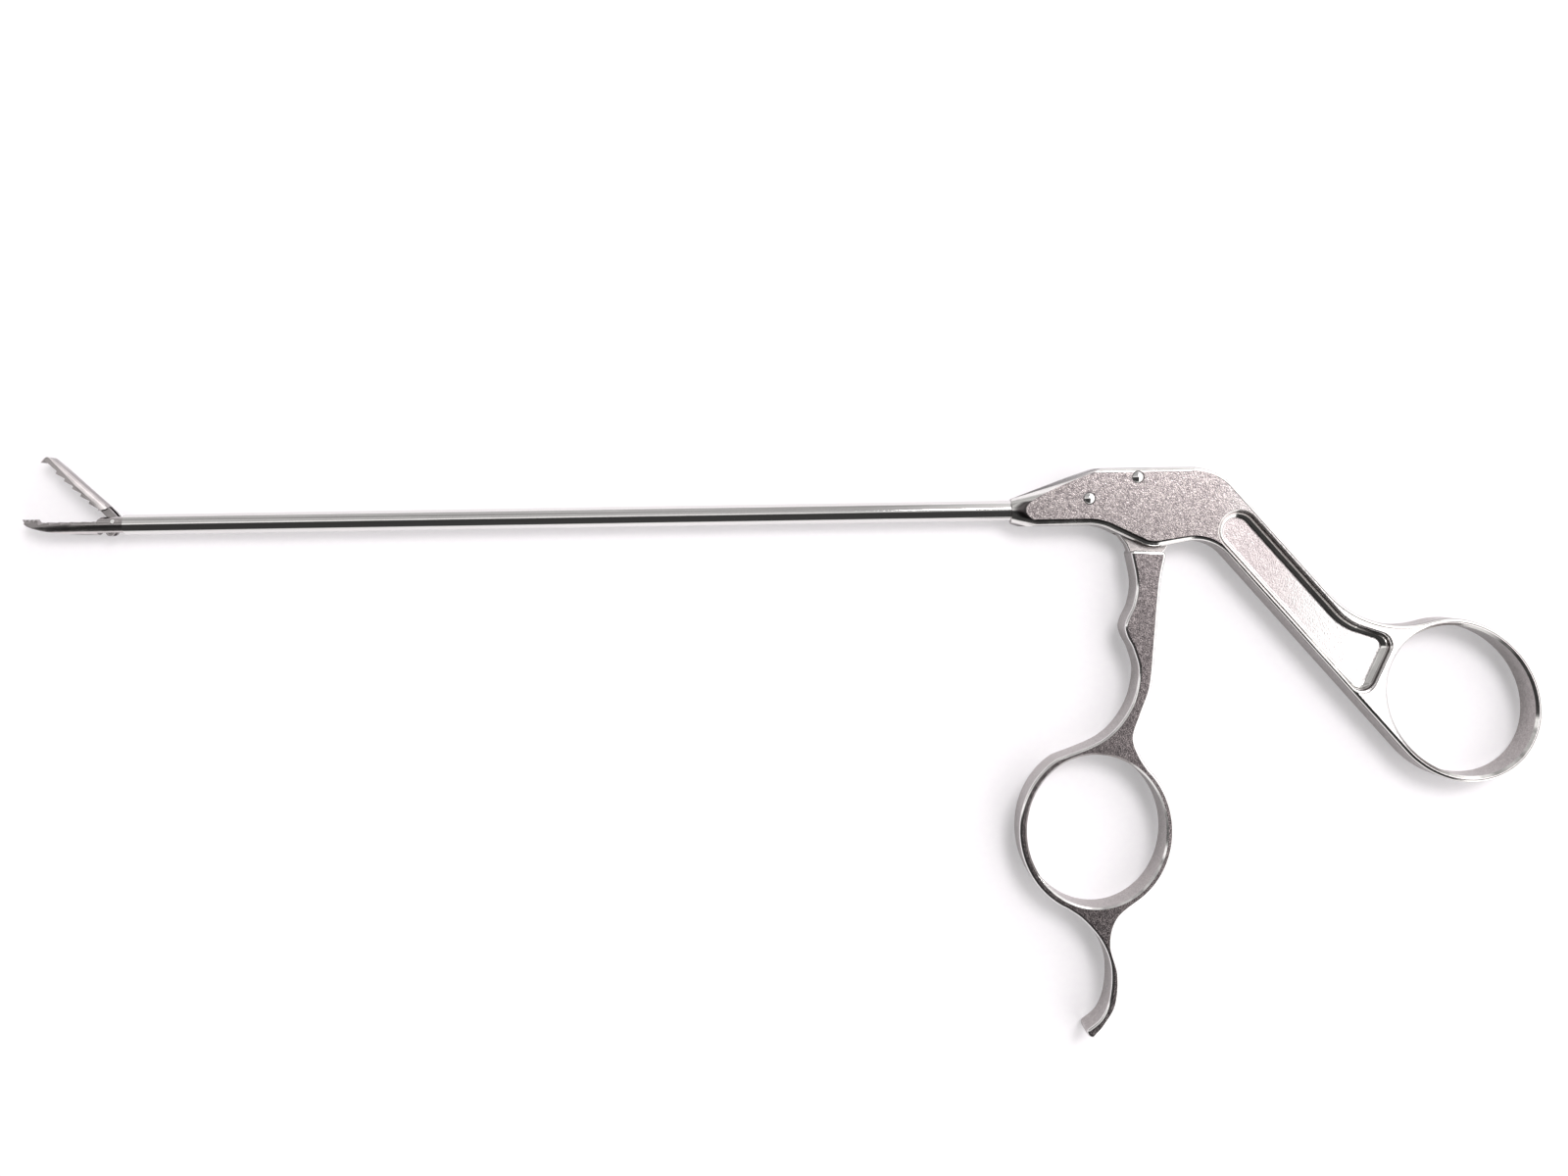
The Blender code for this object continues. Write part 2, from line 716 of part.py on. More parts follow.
def saw_teeth(drop):
    """The closed jaws' tooth line, from the pivot to the tip, lowered by drop."""
    line = []
    for tooth in range(tooth_count):
        x = -tooth_start - tooth * tooth_pitch
        line.append(jaw_pivot + Vector((x, tooth_root - drop)))
        line.append(jaw_pivot + Vector((x - tooth_pitch + tooth_flank, tooth_tip - drop)))
    x = -tooth_start - tooth_count * tooth_pitch
    line.append(jaw_pivot + Vector((x, tooth_root - drop)))
    return line


def taper_plan(tip_x):
    """The jaws' outline seen along Y: full width at the root, narrow and rounded at the tip."""
    wide = shaft_radius + 0.1 * MM
    narrow = jaw_tip_width / 2
    root_x = tube_front + cut_past
    taper_x = jaw_pivot.x - taper_start
    low_tip = Vector((tip_x, axis_z - narrow))
    high_tip = Vector((tip_x, axis_z + narrow))
    low_side = Vector((taper_x, axis_z - wide))
    high_side = Vector((taper_x, axis_z + wide))
    outline = [Vector((root_x, axis_z - wide)), Vector((root_x, axis_z + wide)), high_side]
    outline += rounded(high_side, high_tip, low_tip, 0.7 * MM, 5)
    outline += rounded(high_tip, low_tip, low_side, 0.7 * MM, 5)
    outline.append(low_side)
    return outline


def fixed_jaw(cutters):
    """Lower jaw, clevis and spigot, milled from one bar."""
    pivot_x = jaw_pivot.x
    tip_x = pivot_x - fixed_reach
    spigot_rear = tube_front + spigot_length
    low = clevis_diameter / 2 + 0.1 * MM
    bottom = flowing(
        [Vector((pivot_x - 3.0 * MM, -low))]
        + measured_from(jaw_pivot, jaw_belly)
        + [Vector((tip_x + tip_slope, jaw_pivot.y + tip_floor))],
        4,
    )
    shoulder = flowing(measured_from(jaw_pivot, clevis_edge), 3)
    outline = [Vector((tube_front, -low))] + bottom
    outline.append(Vector((tip_x + tip_slope, jaw_pivot.y + tip_floor)))
    outline += saw_teeth(mesh_gap)[::-1]
    outline += shoulder
    outline += [Vector((pivot_x - 0.9 * MM, clevis_top)), Vector((tube_front, clevis_top))]
    bar = slab([outline], axis_z - low, axis_z + low)
    combine(bar, bar_x(clevis_diameter / 2, tip_x - cut_past, tube_front + cut_past), "INTERSECT", cutters)
    plan = plan_slab(taper_plan(tip_x), -3 * MM, 3 * MM)
    combine(bar, plan, "INTERSECT", cutters)
    combine(bar, tip_tooth_block(tip_x), "UNION", cutters)
    spigot = bar_x(bore_radius - seat_gap, tube_front - clevis_ring, spigot_rear)
    combine(bar, spigot, "UNION", cutters)
    slot = block(
        (pivot_x - jaw_slot_front, tube_front - clevis_ring),
        (-3 * MM, 3 * MM),
        (axis_z - jaw_slot / 2, axis_z + jaw_slot / 2),
    )
    combine(bar, slot, "DIFFERENCE", cutters)
    bore = bar_x(rod_radius + rod_play, tube_front - cut_past, spigot_rear + cut_past)
    combine(bar, bore, "DIFFERENCE", cutters)
    hole = pin_hole(jaw_pivot, jaw_pin_diameter / 2 + seat_gap, 24)
    combine(bar, hole, "DIFFERENCE", cutters)
    return bar


def tip_tooth_block(tip_x):
    """The fine teeth that stand at the fixed jaw's tip, narrower than the jaw."""
    base = jaw_pivot.y + tip_floor - 0.5 * MM
    line = [Vector((tip_x + 0.55 * MM, base)), Vector((tip_x + tip_slope, jaw_pivot.y + tip_floor))]
    line += [Vector((tip_x, jaw_pivot.y + tip_height)), Vector((tip_x + 0.12 * MM, jaw_pivot.y + tip_height))]
    for tooth in range(tip_teeth):
        x = tip_x + 0.12 * MM + tooth * tip_pitch
        line.append(Vector((x + 0.4 * tip_pitch, jaw_pivot.y + tip_root)))
        line.append(Vector((x + 0.9 * tip_pitch, jaw_pivot.y + tip_height)))
    line.append(Vector((line[-1].x + 0.45 * MM, jaw_pivot.y + tip_floor)))
    line.append(Vector((line[-1].x, base)))
    return slab([line], axis_z - tip_block / 2, axis_z + tip_block / 2)


def moving_jaw(cutters):
    """Upper jaw with its ears, modelled closed. Its axis then turns it open."""
    tip_x = jaw_pivot.x - moving_reach
    back = jaw_pivot.y + jaw_back
    hook = measured_from(jaw_pivot, [(-15.42, 0.12)])
    hook += [Vector((tip_x + 0.36 * MM, jaw_pivot.y - 0.55 * MM))]
    hook += [Vector((tip_x + 0.2 * MM, jaw_pivot.y - 0.7 * MM))]
    hook += [Vector((tip_x + 0.03 * MM, jaw_pivot.y - 0.5 * MM))]
    nose = flowing(
        [Vector((tip_x, jaw_pivot.y)), Vector((tip_x + 0.22 * MM, jaw_pivot.y + 0.5 * MM))]
        + measured_from(jaw_pivot, [(-15.1, 1.0), (-14.4, 1.1), (-12.8, 1.2), (-10.9, 1.33)])
        + [Vector((jaw_pivot.x - 8.0 * MM, back + 0.05 * MM))]
        + [Vector((jaw_pivot.x - 4.5 * MM, back + 0.1 * MM))],
        4,
    )
    rear = [Vector((jaw_pivot.x - 4.5 * MM, back + 0.1 * MM))]
    rear += measured_from(jaw_pivot, [(-2.3, 1.5), (-2.3, 0.75), jaw_heel])
    outline = rear + saw_teeth(0.0) + hook + nose
    wide = shaft_radius + 0.1 * MM
    jaw = slab([outline], axis_z - wide, axis_z + wide)
    cavity = block(
        (tip_x + hook_thickness, jaw_pivot.x - tooth_start - tooth_count * tooth_pitch - 0.1 * MM),
        (jaw_pivot.y - 1 * MM, jaw_pivot.y + cavity_roof),
        (axis_z - cavity_width / 2, axis_z + cavity_width / 2),
    )
    helpers = [combine(jaw, cavity, "DIFFERENCE", cutters)]
    centre_y = back - shaft_radius
    round_back = bar_x(shaft_radius, tip_x - cut_past, jaw_pivot.x + cut_past, centre_y)
    helpers.append(combine(jaw, round_back, "INTERSECT", cutters))
    plan = plan_slab(taper_plan(tip_x), -3 * MM, 4 * MM)
    helpers.append(combine(jaw, plan, "INTERSECT", cutters))
    helpers += add_ears(jaw, cutters)
    return jaw, helpers


def add_ears(jaw, cutters):
    """Two ears behind the jaw, with the pivot hole and the slot for the drive pin."""
    half = ears_width / 2
    heading = jaw_opening / 2 - math.pi / 2
    down = Vector((math.cos(heading), math.sin(heading)))
    near = jaw_pivot + drive_offset * down
    far = jaw_pivot + drive_offset / math.cos(jaw_opening / 2) * down
    lobe = slab([hull_of_circles(jaw_pivot, ear_boss, far, ear_lobe)], axis_z - half, axis_z + half)
    neck_outline = measured_from(jaw_pivot, [jaw_heel, (0.0, -0.3)])
    neck_outline.append(jaw_pivot + Vector((0.0, ear_boss)))
    neck_outline += measured_from(jaw_pivot, [(-1.2, 1.12), (-2.9, 1.2)])
    neck = slab([neck_outline], axis_z - half, axis_z + half)
    gap = bar_z(2.55 * MM, jaw_pivot, axis_z - ear_gap / 2, axis_z + ear_gap / 2, 48)
    hole = pin_hole(jaw_pivot, jaw_pin_diameter / 2 + pin_play, 24)
    slot_radius = drive_pin_diameter / 2 + pin_play
    pin_slot = slab([hull_of_circles(near, slot_radius, far, slot_radius)], 0.0, handle_thickness)
    return [
        combine(jaw, lobe, "UNION", cutters),
        combine(jaw, neck, "UNION", cutters),
        combine(jaw, gap, "DIFFERENCE", cutters),
        combine(jaw, hole, "DIFFERENCE", cutters),
        combine(jaw, pin_slot, "DIFFERENCE", cutters),
    ]


def build():
    parts, cutters = start_scene()
    forged = steel("bead_blasted_steel", (0.52, 0.49, 0.48), 0.42)
    lever_steel = steel("blasted_lever_steel", (0.42, 0.39, 0.38), 0.4)
    tube_steel = steel("mirror_polished_steel", (0.72, 0.71, 0.70), 0.12)
    jaw_steel = steel("jaw_steel", (0.66, 0.64, 0.64), 0.22)
    pin_steel = steel("polished_pin_steel", (0.70, 0.69, 0.68), 0.15)
    rod_steel = steel("drawn_rod_steel", (0.60, 0.59, 0.58), 0.3)

    finish(handle_body(cutters), "handle_body", forged, parts)
    grip = finish(lever(cutters), "lever", lever_steel, parts)
    finish(domed_pin(lever_pivot, lever_pin_diameter), "lever_pivot_pin", pin_steel, parts)
    finish(domed_pin(lock_place, lock_pin_diameter), "shaft_lock_pin", pin_steel, parts)
    finish(shaft_tube(cutters), "shaft_tube", tube_steel, parts)
    finish(rod_bushing(cutters), "rod_bushing", rod_steel, parts)
    finish(fixed_jaw(cutters), "fixed_jaw", jaw_steel, parts)
    jaw, jaw_helpers = moving_jaw(cutters)
    finish(jaw, "moving_jaw", jaw_steel, parts)
    finish(plain_pin(jaw_pivot, jaw_pin_diameter, jaw_pin_length), "jaw_pivot_pin", pin_steel, parts)
    rod = finish(pull_rod(cutters), "pull_rod", rod_steel, parts)
    drive_place = Vector((drive_pin_x, rod_line_y))
    drive_pin = plain_pin(drive_place, drive_pin_diameter, drive_pin_length)
    finish(drive_pin, "jaw_drive_pin", pin_steel, parts)
    end = finish(rod_end(cutters), "rod_end", rod_steel, parts)
    cross_place = Vector((cross_pin_x, 0.0))
    cross_length = slot_width - 2 * slot_play
    cross_pin = plain_pin(cross_place, cross_pin_diameter, cross_length)
    finish(cross_pin, "rod_cross_pin", pin_steel, parts)

    axis_at("lever_axis", lever_pivot, [grip])
    axis_at("rod_axis", cross_place, [rod, drive_pin, end, cross_pin])
    jaw_axis = axis_at("jaw_axis", jaw_pivot, [jaw] + jaw_helpers)
    jaw_axis.rotation_euler.z = -jaw_opening


build()
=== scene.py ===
# %% [markdown]
# # Arthroscopic grasping forceps
# A thin steel instrument lies on a white table: a ring handle, a finger lever, a long shaft and
# two small toothed jaws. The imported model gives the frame, with every solid at its real place.
# Here each visible solid gets a finer stand-in with rounded, polished edges, because steel shows
# its shape through reflections along those edges.

import json
import math

import bmesh
import bpy
from mathutils import Matrix, Vector


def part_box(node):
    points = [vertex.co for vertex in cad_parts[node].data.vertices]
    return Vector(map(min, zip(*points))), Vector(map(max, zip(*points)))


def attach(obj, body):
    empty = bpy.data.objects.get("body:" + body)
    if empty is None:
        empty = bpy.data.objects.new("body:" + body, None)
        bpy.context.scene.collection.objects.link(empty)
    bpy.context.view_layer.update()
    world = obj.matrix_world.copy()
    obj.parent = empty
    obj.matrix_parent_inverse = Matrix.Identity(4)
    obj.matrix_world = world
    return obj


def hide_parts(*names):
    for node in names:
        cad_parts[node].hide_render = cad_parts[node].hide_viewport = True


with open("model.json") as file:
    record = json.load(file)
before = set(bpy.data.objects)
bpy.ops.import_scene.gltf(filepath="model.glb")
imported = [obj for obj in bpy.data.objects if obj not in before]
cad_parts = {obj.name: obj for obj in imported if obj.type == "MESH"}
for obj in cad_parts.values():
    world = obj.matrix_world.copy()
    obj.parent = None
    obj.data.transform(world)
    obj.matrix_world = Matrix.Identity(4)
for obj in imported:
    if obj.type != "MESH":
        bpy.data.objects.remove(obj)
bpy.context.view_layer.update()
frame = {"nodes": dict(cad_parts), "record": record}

# %% [markdown]
# ## Units and heights
# All sizes below are millimetres, and `MM` turns them into Blender's metres. The heights and the
# joint places are read from the frame, so the new pieces fit it without any fitting by hand.

# %% Heights, pivots and the shaft, read from the frame
MM = 0.001
joints = {joint["name"]: joint for joint in frame["record"]["behaviour"]["joints"]}


def flat_place(joint_name):
    """A hinge's place seen from above, in millimetres."""
    x, y, _ = joints[joint_name]["pos_m"]
    return Vector((x / MM, y / MM))


def node_box(node):
    """Lowest and highest corner of a CAD node in millimetres."""
    low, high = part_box(node)
    return low / MM, high / MM


lever_pivot = flat_place("lever_pivot")
jaw_opening = math.radians(joints["jaw_pivot"]["range_deg"][1])
lever_swing = math.radians(joints["lever_pivot"]["range_deg"][1])
thickness = node_box("handle_body")[1].z
shaft_z = thickness / 2
tube_low, tube_high = node_box("shaft_tube")
shaft_radius = (tube_high.z - tube_low.z) / 2
print(f"handle {thickness:.2f} mm thick, shaft radius {shaft_radius:.2f} mm")
print(f"lever swings {lever_swing:.3f} rad, jaws open {jaw_opening:.3f} rad")

# %% [markdown]
# ## Camera
# The photograph was taken from 24 cm above the table, looking almost straight down. A camera that
# looks straight down with a small lens shift gives the same picture, and the instrument lies less
# than one degree askew in it.

# %% Camera above the table
camera_height = 241.3
camera_turn = 0.01594
picture_width, picture_height = 1600, 1200
focal_pixels = 1448
plumb_pixel = (812, 553)
plumb_place = Vector((-56.96, -4.695))

lens = bpy.data.cameras.new("camera")
lens.sensor_width = 36.0
lens.lens = lens.sensor_width * focal_pixels / picture_width
lens.shift_x = (picture_width / 2 - plumb_pixel[0]) / picture_width
lens.shift_y = (plumb_pixel[1] - picture_height / 2) / picture_width
lens.clip_start = 0.01
camera = bpy.data.objects.new("camera", lens)
camera.location = (plumb_place.x * MM, plumb_place.y * MM, camera_height * MM)
camera.rotation_euler = (0.0, 0.0, -camera_turn)
bpy.context.scene.collection.objects.link(camera)
bpy.context.scene.camera = camera
print(f"lens {lens.lens:.2f} mm, shift {lens.shift_x:.4f}, {lens.shift_y:.4f}")

# %% [markdown]
# ## Shader maths as Python
# A material is a network of nodes. Writing the maths with `+` and `*` is easier to read than
# linking nodes one by one, so a small class wraps a socket and adds the Math node for each
# operator. Everything that isn't maths goes through `node`.

# %% A small class for node networks
class Value:
    """One output socket of a network, usable in sums and products."""

    def __init__(self, net, socket):
        self.net = net
        self.socket = socket

    def maths(self, operation, *others):
        return self.net.node("ShaderNodeMath", {"operation": operation}, *others)["Value"]

    def size(self):
        return self.maths("ABSOLUTE", self)

    def __add__(self, other):
        return self.maths("ADD", self, other)

    def __sub__(self, other):
        return self.maths("SUBTRACT", self, other)

    def __rsub__(self, other):
        return self.maths("SUBTRACT", other, self)

    def __mul__(self, other):
        return self.maths("MULTIPLY", self, other)

    __radd__ = __add__
    __rmul__ = __mul__

    def between(self, low, high):
        """Rises smoothly from 0 to 1 as the value goes from low to high."""
        settings = {"interpolation_type": "SMOOTHSTEP"}
        sockets = {"Value": self, "From Min": low, "From Max": high}
        return self.net.node("ShaderNodeMapRange", settings, **sockets)["Result"]


class Network:
    """The node tree of one material or of the world, emptied first."""

    def __init__(self, owner):
        owner.use_nodes = True
        self.tree = owner.node_tree
        self.tree.nodes.clear()

    def node(self, kind, settings=None, *inputs, **named):
        made = self.tree.nodes.new(kind)
        for key, setting in (settings or {}).items():
            setattr(made, key, setting)
        given = list(enumerate(inputs)) + [(key.replace("_", " "), v) for key, v in named.items()]
        for key, value in given:
            if isinstance(value, Value):
                self.tree.links.new(value.socket, made.inputs[key])
            else:
                made.inputs[key].default_value = value
        return {socket.name: Value(self, socket) for socket in made.outputs}

    def blend(self, amount, first, second):
        """A colour between two colours."""
        made = self.tree.nodes.new("ShaderNodeMix")
        made.data_type = "RGBA"
        sockets = [s for s in made.inputs if s.type == "RGBA"]
        self.tree.links.new(amount.socket, made.inputs["Factor"])
        for socket, colour in zip(sockets, (first, second)):
            if isinstance(colour, Value):
                self.tree.links.new(colour.socket, socket)
            else:
                socket.default_value = (*colour, 1.0)
        return Value(self, next(s for s in made.outputs if s.type == "RGBA"))

    def grain(self, scale, detail=2.0, stretch=(1.0, 1.0, 1.0)):
        """Noise on the piece's own coordinates, with features per metre set by the scale."""
        place = self.node("ShaderNodeTexCoord")["Object"]
        place = self.node("ShaderNodeMapping", None, place, Scale=stretch)["Vector"]
        return self.node("ShaderNodeTexNoise", None, place, Scale=scale, Detail=detail)["Fac"]

    def bump(self, height, strength, depth):
        """A surface that rises by up to a depth in millimetres."""
        sizes = {"Strength": strength, "Distance": depth * MM, "Height": height}
        return self.node("ShaderNodeBump", None, **sizes)["Normal"]

    def metal(self, colour, rough, bump):
        looks = {"Base Color": colour, "Metallic": 1.0, "Roughness": rough, "Normal": bump}
        return self.node("ShaderNodeBsdfPrincipled", None, **looks)["BSDF"]

    def finish(self, shader, output="ShaderNodeOutputMaterial"):
        end = self.tree.nodes.new(output)
        self.tree.links.new(shader.socket, end.inputs["Surface"])


print("node helpers ready")

# %% [markdown]
# ## Steel finishes
# The instrument is one metal with several finishes. Glass beads were blasted at the flat faces,
# which leaves a fine, slightly warm speckle that scatters light. Edges, pins and shaft are
# polished, so they mirror the room. Roughness, a fine bump and a darker, speckled colour make
# that difference.

# %% Blasted steel for the flat faces
# The pale colour of a painted sheen on blasted steel, and the run in millimetres over which it
# fades in.
sheen_colour = (0.93, 0.90, 0.90)
sheen_run = 14.0


def blasted_steel(name, light, dark, roughness, sheen_from=None):
    """Bead-blasted steel: pitted, with small glints, and a painted sheen that lightens it along X.
    """
    made = bpy.data.materials.new(name)
    net = Network(made)
    speckle = net.grain(4200.0, 2.0)
    cloud = net.grain(1300.0, 3.0)
    fleck = speckle.between(0.36, 0.64) * 0.7 + cloud.between(0.3, 0.7) * 0.3
    colour = net.blend(fleck, dark, light)
    rough = cloud * 0.12 + (roughness - 0.06)
    # Painted sheen: from a place along the X axis on, the colour blends to a pale steel and the
    # roughness drops.
    if sheen_from is not None:
        place = net.node("ShaderNodeTexCoord")["Object"]
        along = net.node("ShaderNodeSeparateXYZ", None, place)["X"]
        painted_sheen = along.between(sheen_from * MM, (sheen_from + sheen_run) * MM)
        colour = net.blend(painted_sheen, colour, sheen_colour)
        rough = rough - painted_sheen * 0.07
    pits = speckle + cloud * 0.5
    bump = net.bump(pits, 0.5, 0.04)
    net.finish(net.metal(colour, rough, bump))
    return made


# The handle's faces and its recess floors get the painted sheen towards the arm and the thumb ring.
blasted_handle = blasted_steel(
    "blasted_handle_steel", (0.62, 0.56, 0.55), (0.28, 0.24, 0.25), 0.23, sheen_from=12.0
)
# The lever's copy is darker than the handle's: painted shade for its face, which mirrors the dark
# side of the room.
blasted_lever = blasted_steel("blasted_lever_steel", (0.54, 0.48, 0.48), (0.22, 0.19, 0.20), 0.22)
blasted_floor = blasted_steel(
    "blasted_floor_steel", (0.68, 0.61, 0.61), (0.52, 0.46, 0.47), 0.26, sheen_from=20.0
)
satin_side = blasted_steel("satin_side_steel", (0.52, 0.49, 0.48), (0.32, 0.29, 0.29), 0.32)
print("blasted:", blasted_handle.name, blasted_lever.name, blasted_floor.name, satin_side.name)


# %% Polished steel for edges, pins and the shaft
all_ways = (1.0, 1.0, 1.0)
along_shaft = (0.02, 1.0, 1.0)


def polished_steel(name, colour, roughness, haze, stretch=all_ways, scratch=0.15, edge_shade_colour=None):
    """Polished steel with faint marks of the polishing, and painted shade lines where a rounded rim
    ends.
    """
    made = bpy.data.materials.new(name)
    net = Network(made)
    marks = net.grain(5200.0, 3.0, stretch)
    smear = net.grain(420.0, 2.0, stretch)
    bump = net.bump(marks, scratch, 0.01)
    dull = tuple(channel * 0.86 for channel in colour)
    steel = net.blend(smear.between(0.3, 0.7), dull, colour)
    if edge_shade_colour:
        # Painted shade: the steel turns to the given dark colour where the normal stands nearly
        # upright or lies nearly level, which draws lines at a rim's borders and darkens the jaws'
        # flat faces and walls.
        facing = net.node("ShaderNodeNewGeometry")["Normal"]
        upright = net.node("ShaderNodeSeparateXYZ", None, facing)["Z"].size()
        line = upright.between(0.93, 0.99) + (1.0 - upright.between(0.2, 0.6))
        steel = net.blend(line, steel, edge_shade_colour)
    net.finish(net.metal(steel, smear.between(0.35, 0.7) * haze + roughness, bump))
    return made


# The last colour of the edge and jaw finishes is the painted shade of the dark lines along their
# rims.
polished_edge = polished_steel(
    "polished_edge_steel", (0.86, 0.85, 0.83), 0.1, 0.08, edge_shade_colour=(0.10, 0.09, 0.09)
)
bright_edge = polished_steel(
    "bright_edge_steel", (0.90, 0.89, 0.88), 0.1, 0.06, edge_shade_colour=(0.45, 0.43, 0.43)
)
polished_tube = polished_steel(
    "mirror_polished_steel", (0.84, 0.83, 0.82), 0.07, 0.05, along_shaft, 0.3
)
polished_jaw = polished_steel("jaw_steel", (0.70, 0.66, 0.66), 0.14, 0.08, edge_shade_colour=(0.32, 0.30, 0.30))
polished_pin = polished_steel("polished_pin_steel", (0.86, 0.85, 0.84), 0.09, 0.05)
drawn_rod = polished_steel("drawn_rod_steel", (0.72, 0.71, 0.70), 0.28, 0.08, along_shaft, 0.4)
print("polished:", polished_edge.name, polished_tube.name, polished_pin.name)

# %% [markdown]
# ## Outlines
# Most pieces of the handle are plates: an outline with a thickness. The outline is drawn once in
# a few corners, arcs and flowing lines, and Blender's operators do the rest.

# %% Helpers that draw an outline in millimetres
def places(origin, pairs):
    """Points given from an origin."""
    return [origin + Vector(pair) for pair in pairs]


def bend(start, corner, end, steps):
    """The round curve from start to end whose tangents meet at the corner."""
    weight = math.cos((corner - start).angle(end - corner) / 2)
    curve = []
    for i in range(steps + 1):
        t = i / steps
        a, b, c = (1 - t) ** 2, 2 * t * (1 - t) * weight, t * t
        curve.append((a * start + b * corner + c * end) / (a + b + c))
    return curve


def rounded(before, corner, after, radius, steps=14):
    """A corner between two straight edges, rounded to a radius."""
    back = (before - corner).normalized()
    ahead = (after - corner).normalized()
    leg = radius / math.tan(back.angle(ahead) / 2)
    return bend(corner + leg * back, corner, corner + leg * ahead, steps)


def oval(centre, long, short, axis, start=0.0, end=360.0, steps=128):
    """Points along an oval, counter-clockwise in degrees from its long axis."""
    side = Vector((-axis.y, axis.x))
    last = steps if end - start > 359.9 else steps + 1
    turns = [math.radians(start + (end - start) * i / steps) for i in range(last)]
    return [centre + long * math.cos(t) * axis + short * math.sin(t) * side for t in turns]


def flowing(points, steps=10):
    """A smooth line through the points, without the last one."""
    line = []
    for i in range(len(points) - 1):
        p0, p1, p2, p3 = (points[max(0, min(len(points) - 1, i + k))] for k in (-1, 0, 1, 2))
        for step in range(steps):
            t = step / steps
            pull = (p2 - p0) * (t**3 - 2 * t**2 + t) + (p3 - p1) * (t**3 - t**2)
            line.append(p1 + (p2 - p1) * (3 * t**2 - 2 * t**3) + pull / 2)
    return line


def belt(first, second, radius, steps=16):
    """The outline of a slot: two round ends of one radius."""
    heading = math.degrees(math.atan2((second - first).y, (second - first).x))
    right = Vector((1, 0))
    ends = oval(second, radius, radius, right, heading - 90, heading + 90, steps)
    return ends + oval(first, radius, radius, right, heading + 90, heading + 270, steps)


print("outline helpers ready")

# %% [markdown]
# ## From outline to steel
# A plate is one face, extruded. The Bevel modifier then rounds its rims; a bevel weight on each
# edge lets the rounding be wide at the nose and narrow around the rings. Holes and recesses are
# Booleans, as a mill would cut them.

# %% Helpers that make plates, cuts and finished pieces
merge_distance = 1e-7  # in metres, as the mesh operators take it
past_face = 1.0
sunk_depth = 1.0


def mesh_object(name, bm):
    """A linked object from a bmesh, with all faces turned outwards."""
    bmesh.ops.remove_doubles(bm, verts=bm.verts, dist=1e-8)
    bmesh.ops.recalc_face_normals(bm, faces=bm.faces)
    mesh = bpy.data.meshes.new(name)
    bm.to_mesh(mesh)
    bm.free()
    made = bpy.data.objects.new(name, mesh)
    bpy.context.scene.collection.objects.link(made)
    return made


def plate(outline, low, high, round_width=None, rim=None, segments=5):
    """An outline given thickness. rim tells the width of the rounded edge at a place."""
    bm = bmesh.new()
    face = bm.faces.new([bm.verts.new((p.x * MM, p.y * MM, low * MM)) for p in outline])
    grown = bmesh.ops.extrude_face_region(bm, geom=[face])["geom"]
    lifted = [part for part in grown if isinstance(part, bmesh.types.BMVert)]
    bmesh.ops.translate(bm, verts=lifted, vec=(0, 0, (high - low) * MM))
    weights = bm.edges.layers.float.new("bevel_weight_edge")
    for edge in bm.edges:
        a, b = (vert.co for vert in edge.verts)
        if round_width and abs(a.z - b.z) < merge_distance:
            middle = (a + b) / (2 * MM)
            edge[weights] = rim(middle) / round_width if rim else 1.0
    made = mesh_object("plate", bm)
    if round_width:
        bevel = made.modifiers.new("rounded rims", "BEVEL")
        bevel.limit_method = "WEIGHT"
        bevel.width = round_width * MM
        bevel.segments = segments
        bevel.use_clamp_overlap = False
    return made


def combine(solid, tool, operation="DIFFERENCE"):
    """Adds a Boolean. This solver makes the same cut on every run, and needs closed solids."""
    boolean = solid.modifiers.new(operation.lower(), "BOOLEAN")
    boolean.solver = "MANIFOLD"
    boolean.operation = operation
    boolean.object = tool
    return solid


def settled(solid, name):
    """Applies all modifiers, then removes the tools that they used."""
    tools = [m.object for m in solid.modifiers if m.type == "BOOLEAN"]
    graph = bpy.context.evaluated_depsgraph_get()
    mesh = bpy.data.meshes.new_from_object(solid.evaluated_get(graph))
    for used in tools + [solid]:
        bpy.data.objects.remove(used, do_unlink=True)
    bm = bmesh.new()
    bm.from_mesh(mesh)
    bmesh.ops.remove_doubles(bm, verts=bm.verts, dist=merge_distance)
    bmesh.ops.dissolve_degenerate(bm, edges=bm.edges, dist=merge_distance)
    bpy.data.meshes.remove(mesh)
    return mesh_object(name, bm)


def cylinder(radius, start, end, sides=96, end_radius=None):
    """A round bar, or a cone with a second radius, between two places given in millimetres."""
    run = end - start
    bm = bmesh.new()
    far = radius if end_radius is None else end_radius
    sizes = {"radius1": radius * MM, "radius2": far * MM, "depth": run.length * MM}
    bmesh.ops.create_cone(bm, cap_ends=True, segments=sides, **sizes)
    turn = run.to_track_quat("Z", "Y").to_matrix().to_4x4()
    middle = Matrix.Translation((start + end) * MM / 2)
    bmesh.ops.transform(bm, matrix=middle @ turn, verts=bm.verts)
    return mesh_object("bar", bm)


def upright_hole(place, radius):
    """A bar that reaches past both faces, for drilling a hole."""
    low, high = Vector((*place, -past_face)), Vector((*place, thickness + past_face))
    return cylinder(radius, low, high, 64)


def box_between(low, high):
    """A block between two corners given in millimetres."""
    bm = bmesh.new()
    bmesh.ops.create_cube(bm, size=1.0)
    low, high = Vector(low) * MM, Vector(high) * MM
    bmesh.ops.scale(bm, vec=high - low, verts=bm.verts)
    bmesh.ops.translate(bm, vec=(low + high) / 2, verts=bm.verts)
    return mesh_object("box", bm)


